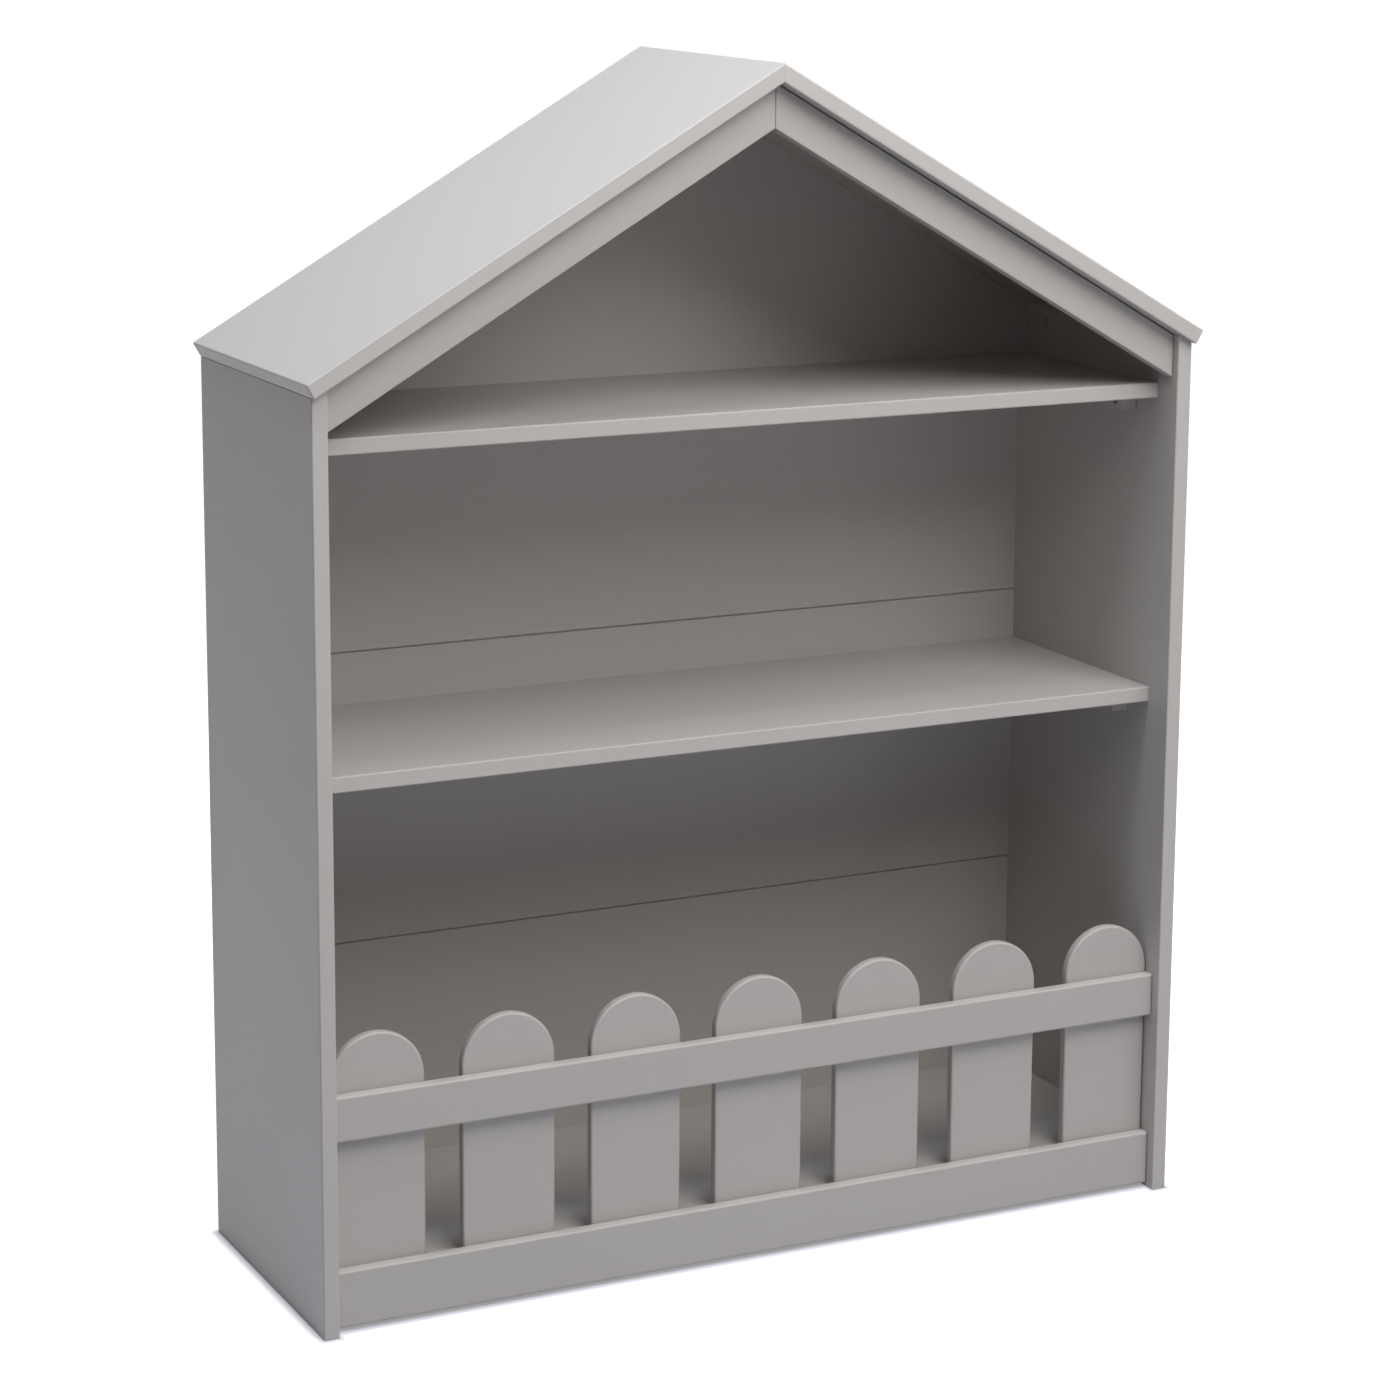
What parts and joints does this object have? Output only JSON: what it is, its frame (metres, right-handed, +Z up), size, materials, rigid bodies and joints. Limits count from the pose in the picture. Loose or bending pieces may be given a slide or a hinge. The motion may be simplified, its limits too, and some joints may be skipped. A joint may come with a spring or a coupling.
{
  "type": "bookshelf",
  "caption": "House-shaped children's bookcase with a pitched roof, a gable front, open shelves and a round-topped picket fence that holds toys in the lowest compartment.",
  "frame": {"origin": "on the floor, at the middle of the whole outline", "axes": "+X to the right as seen from the front, +Y from the front to the back, +Z up to the ridge"},
  "size_m": [0.9038, 0.3012, 1.1219],
  "materials": {
    "painted_board": "fibreboard in warm light-grey satin paint",
    "back_sheet": "thin hardboard, grey paint on the face and raw brown behind",
    "bracket_steel": "zinc plated",
    "screw_steel": "zinc plated",
    "dowel_wood": "raw beech",
    "fold_tape": "gummed paper tape"
  },
  "bodies": {
    "root": {"back_fold_tapes": "fold_tape", "base_rail": "painted_board", "bottom_shelf": "painted_board", "bottom_shelf_block_front_left": "painted_board", "bottom_shelf_block_front_right": "painted_board", "bottom_shelf_block_rear_left": "painted_board", "bottom_shelf_block_rear_right": "painted_board", "fascia_block_screws": "screw_steel", "fence_rail": "painted_board", "front_ridge_bracket": "bracket_steel", "gable_back_board": "painted_board", "gable_board_dowels": "dowel_wood", "gable_board_screws": "screw_steel", "left_fascia_block_lower": "painted_board", "left_fascia_block_upper": "painted_board", "left_gable_fascia": "painted_board", "left_roof_panel": "painted_board", "left_side_panel": "painted_board", "lower_back_sheet": "back_sheet", "middle_back_sheet": "back_sheet", "middle_shelf": "painted_board", "middle_shelf_block_front_left": "painted_board", "middle_shelf_block_front_right": "painted_board", "middle_shelf_block_rear_left": "painted_board", "middle_shelf_block_rear_right": "painted_board", "picket_1": "painted_board", "picket_2": "painted_board", "picket_3": "painted_board", "picket_4": "painted_board", "picket_5": "painted_board", "picket_6": "painted_board", "picket_7": "painted_board", "picket_screws": "screw_steel", "rail_dowels": "dowel_wood", "rear_ridge_bracket": "bracket_steel", "ridge_bracket_screws": "screw_steel", "right_fascia_block_lower": "painted_board", "right_fascia_block_upper": "painted_board", "right_gable_fascia": "painted_board", "right_roof_panel": "painted_board", "right_side_panel": "painted_board", "roof_screws": "screw_steel", "shelf_block_screws": "screw_steel", "top_shelf": "painted_board", "top_shelf_block_front_left": "painted_board", "top_shelf_block_front_right": "painted_board", "top_shelf_block_rear_left": "painted_board", "top_shelf_block_rear_right": "painted_board", "upper_back_sheet": "back_sheet"}
  },
  "joints": []
}
